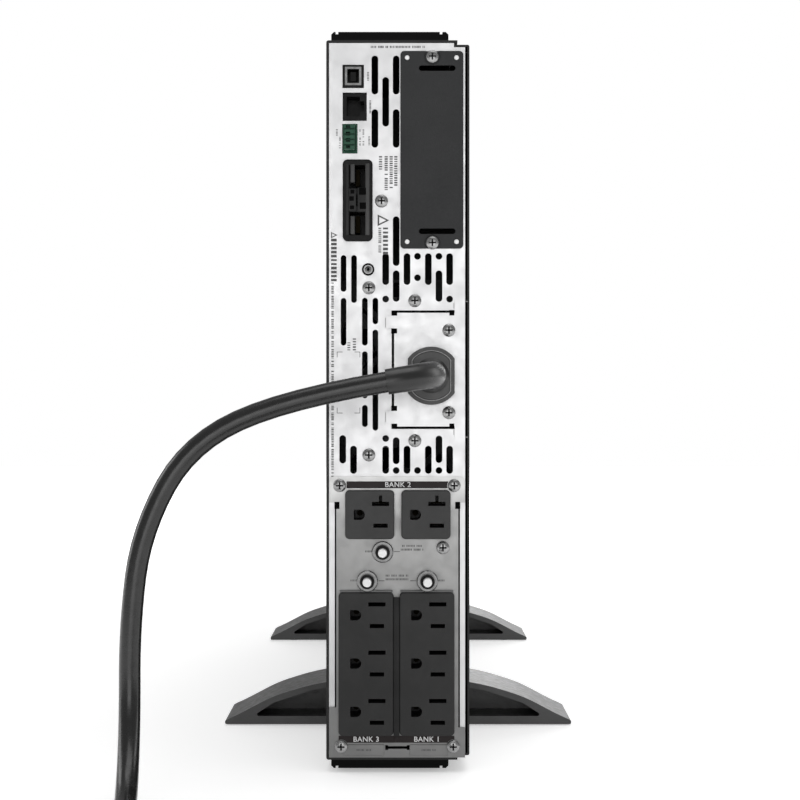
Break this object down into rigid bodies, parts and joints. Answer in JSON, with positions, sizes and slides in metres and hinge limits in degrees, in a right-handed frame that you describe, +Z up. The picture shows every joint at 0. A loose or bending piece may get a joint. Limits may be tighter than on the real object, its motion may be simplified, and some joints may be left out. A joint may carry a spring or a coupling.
{
  "type": "rackmount ups",
  "caption": "Two-unit uninterruptible power supply standing as a tower on stabiliser feet, with rear outlet banks, breakers, ports and a fixed mains cord.",
  "frame": {"origin": "on the floor under the middle of the unit, as it stands on its feet (the free cord left out)", "axes": "+Z up, -Y out of the rear panel with the outlets, +Y out of the bezel, +X to the right as seen from behind the unit"},
  "size_m": [0.2738, 0.9955, 0.4445],
  "materials": {
    "case_paint": "fine textured black powder coat",
    "bare_steel": "bright zinc-plated sheet, satin",
    "plate_grey": "satin grey powder coat",
    "cover_charcoal": "satin charcoal powder coat",
    "screw_steel": "nickel-plated steel",
    "outlet_black": "black moulded nylon",
    "label_black": "printed film",
    "white_plastic": "white button plastic",
    "epo_green": "green terminal plastic",
    "brass": "tinned brass contacts",
    "cord_rubber": "black cord jacket",
    "tie_black": "hook-and-loop tie",
    "plug_black": "moulded plug",
    "foot_grey": "textured grey moulding",
    "pad_rubber": "soft pad",
    "bezel_plastic": "black textured bezel",
    "display_plastic": "glossy display frame",
    "display_glass": "tinted window",
    "button_grey": "grey keys",
    "battery_grey": "grey battery cases",
    "rotor_black": "black fan blades",
    "board_green": "circuit board",
    "aluminium": "extruded fins",
    "core_iron": "laminated core"
  },
  "bodies": {
    "chassis": {"bank_labels": "label_black", "base_tray": "case_paint", "battery_bay": "bare_steel", "battery_connector": "outlet_black", "battery_contacts": "brass", "breaker_bodies": "outlet_black", "breaker_nuts": "screw_steel", "cable_gland": "outlet_black", "cable_plate": "bare_steel", "cord_boot": "cord_rubber", "cord_tie": "tie_black", "display_housing": "display_plastic", "display_window": "display_glass", "divider_wall": "bare_steel", "epo_header": "epo_green", "fan_frames": "outlet_black", "foot_front_left": "foot_grey", "foot_front_right": "foot_grey", "foot_pads": "pad_rubber", "foot_rear_left": "foot_grey", "foot_rear_right": "foot_grey", "ground_terminal": "screw_steel", "heatsinks": "aluminium", "lower_rail": "case_paint", "main_board": "board_green", "outlet_bank_1": "outlet_black", "outlet_bank_3": "outlet_black", "outlet_contacts": "brass", "outlet_plate": "plate_grey", "outlets_20a": "outlet_black", "panel_screws": "screw_steel", "plate_screws": "screw_steel", "plug_blades": "brass", "plug_body": "plug_black", "power_cord": "cord_rubber", "power_cord_coil": "cord_rubber", "rail_screws": "screw_steel", "rear_panel": "bare_steel", "serial_port": "outlet_black", "slot_cover": "cover_charcoal", "slot_cover_rivets": "white_plastic", "top_cover": "case_paint", "transformer": "core_iron", "upper_rail": "case_paint", "usb_port": "outlet_black"},
    "battery": {"battery_tray": "bare_steel", "battery_cells": "battery_grey", "battery_handle": "bezel_plastic"},
    "bezel": {"front_bezel": "bezel_plastic"},
    "breaker_button_1": {"breaker_button_1": "white_plastic"},
    "breaker_button_2": {"breaker_button_2": "white_plastic"},
    "breaker_button_3": {"breaker_button_3": "white_plastic"},
    "fan_rotor_upper": {"fan_rotor_upper": "rotor_black"},
    "fan_rotor_lower": {"fan_rotor_lower": "rotor_black"},
    "power_button": {"power_button": "button_grey"},
    "up_button": {"up_button": "button_grey"},
    "down_button": {"down_button": "button_grey"},
    "ok_button": {"ok_button": "button_grey"},
    "escape_button": {"escape_button": "button_grey"},
    "epo_plug": {"epo_plug": "epo_green"}
  },
  "joints": [
    {"name": "breaker_1_pop", "type": "slide", "parent": "chassis", "child": "breaker_button_1", "axis": [0, -1, 0], "range_m": [0, 0.004]},
    {"name": "breaker_2_pop", "type": "slide", "parent": "chassis", "child": "breaker_button_2", "axis": [0, -1, 0], "range_m": [0, 0.004]},
    {"name": "breaker_3_pop", "type": "slide", "parent": "chassis", "child": "breaker_button_3", "axis": [0, -1, 0], "range_m": [0, 0.004]},
    {"name": "fan_upper_spin", "type": "hinge", "parent": "chassis", "child": "fan_rotor_upper", "pos_m": [0, -0.178, 0.2655], "axis": [0, 1, 0], "continuous": true},
    {"name": "fan_lower_spin", "type": "hinge", "parent": "chassis", "child": "fan_rotor_lower", "pos_m": [0, -0.178, 0.1615], "axis": [0, 1, 0], "continuous": true},
    {"name": "battery_slide", "type": "slide", "parent": "chassis", "child": "battery", "axis": [0, 1, 0], "range_m": [0, 0.33]},
    {"name": "bezel_pull", "type": "slide", "parent": "battery", "child": "bezel", "axis": [0, 1, 0], "range_m": [0, 0.07]},
    {"name": "power_press", "type": "slide", "parent": "chassis", "child": "power_button", "axis": [0, -1, 0], "range_m": [0, 0.001], "stiffness_N_per_m": 600, "springref_m": -0.0005},
    {"name": "up_press", "type": "slide", "parent": "chassis", "child": "up_button", "axis": [0, -1, 0], "range_m": [0, 0.001], "stiffness_N_per_m": 600, "springref_m": -0.0005},
    {"name": "down_press", "type": "slide", "parent": "chassis", "child": "down_button", "axis": [0, -1, 0], "range_m": [0, 0.001], "stiffness_N_per_m": 600, "springref_m": -0.0005},
    {"name": "ok_press", "type": "slide", "parent": "chassis", "child": "ok_button", "axis": [0, -1, 0], "range_m": [0, 0.001], "stiffness_N_per_m": 600, "springref_m": -0.0005},
    {"name": "escape_press", "type": "slide", "parent": "chassis", "child": "escape_button", "axis": [0, -1, 0], "range_m": [0, 0.001], "stiffness_N_per_m": 600, "springref_m": -0.0005},
    {"name": "epo_pull", "type": "slide", "parent": "chassis", "child": "epo_plug", "axis": [0, -1, 0], "range_m": [0, 0.012]}
  ]
}
